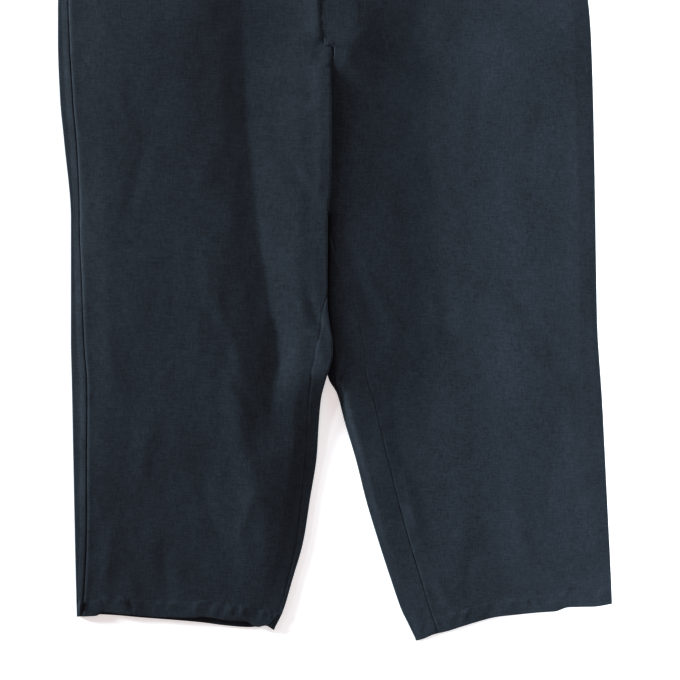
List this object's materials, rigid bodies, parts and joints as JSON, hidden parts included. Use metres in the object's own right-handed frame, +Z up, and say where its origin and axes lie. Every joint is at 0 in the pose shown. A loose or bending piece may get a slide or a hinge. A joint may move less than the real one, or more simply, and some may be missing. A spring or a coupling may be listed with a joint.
{
  "type": "wide-leg trousers, laid flat",
  "caption": "Dark navy linen wide-leg trousers laid flat on their back, with a fly front, a waistband and a button.",
  "frame": {"origin": "on the floor under the middle of the outline", "axes": "+X across the garment from the wearer's right leg to the left leg, +Y up the garment to the waist, +Z up from the floor, with the front of the garment upwards"},
  "size_m": [0.637, 0.9063, 0.0142],
  "materials": {
    "linen": "matt plain-weave linen, dark navy",
    "button": "satin dark button"
  },
  "bodies": {
    "root": {"back_right": "linen", "back_left": "linen", "front_right": "linen", "front_left": "linen", "waistband": "linen", "waist_button": "button"}
  },
  "joints": []
}
